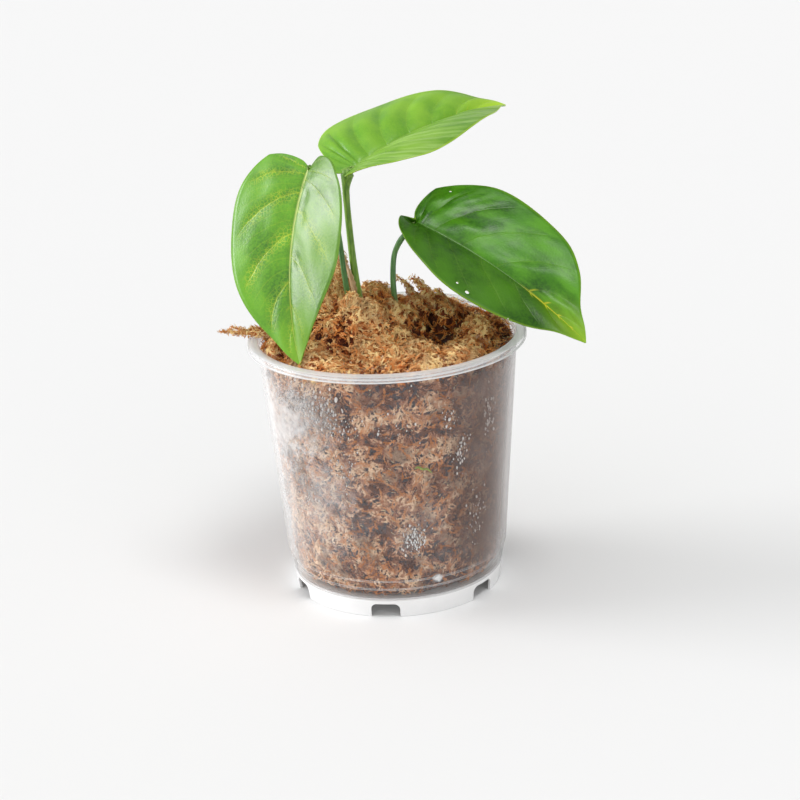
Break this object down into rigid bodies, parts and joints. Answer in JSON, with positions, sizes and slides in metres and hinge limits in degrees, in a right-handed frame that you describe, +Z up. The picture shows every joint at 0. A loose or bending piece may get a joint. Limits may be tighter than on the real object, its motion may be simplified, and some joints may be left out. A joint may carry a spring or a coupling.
{
  "type": "potted anadendrum",
  "caption": "Young aroid plant with heart-shaped glossy green leaves on thin stalks, growing in straw-brown sphagnum moss in a clear plastic nursery pot.",
  "frame": {"origin": "on the surface that the pot stands on, under the middle of the whole plant's bounding box; the pot's own axis is 5.2 mm to the left of it, at x = -0.0052, y = 0", "axes": "+Z up along the pot's axis, -Y to the side of the plant that the picture shows, +X to that view's right; metres"},
  "size_m": [0.1534, 0.12, 0.2057],
  "materials": {
    "clear_plastic": "clear, slightly milky moulded plastic with beads of water inside",
    "sphagnum": "dry to damp straw-brown sphagnum moss, a loose fibrous mass",
    "green_stem": "smooth dark green stalks",
    "dry_sheath": "dry, papery and tan",
    "leaf_mid_green": "satin leaf with yellow-green veins",
    "leaf_light_green": "satin light green leaf",
    "leaf_dark_green": "glossy dark green quilted leaf"
  },
  "bodies": {
    "root": {"pot": "clear_plastic", "moss": "sphagnum", "stem": "green_stem", "sheath": "dry_sheath", "leaf_left": "leaf_mid_green", "leaf_top": "leaf_light_green", "leaf_right": "leaf_dark_green"}
  },
  "joints": []
}
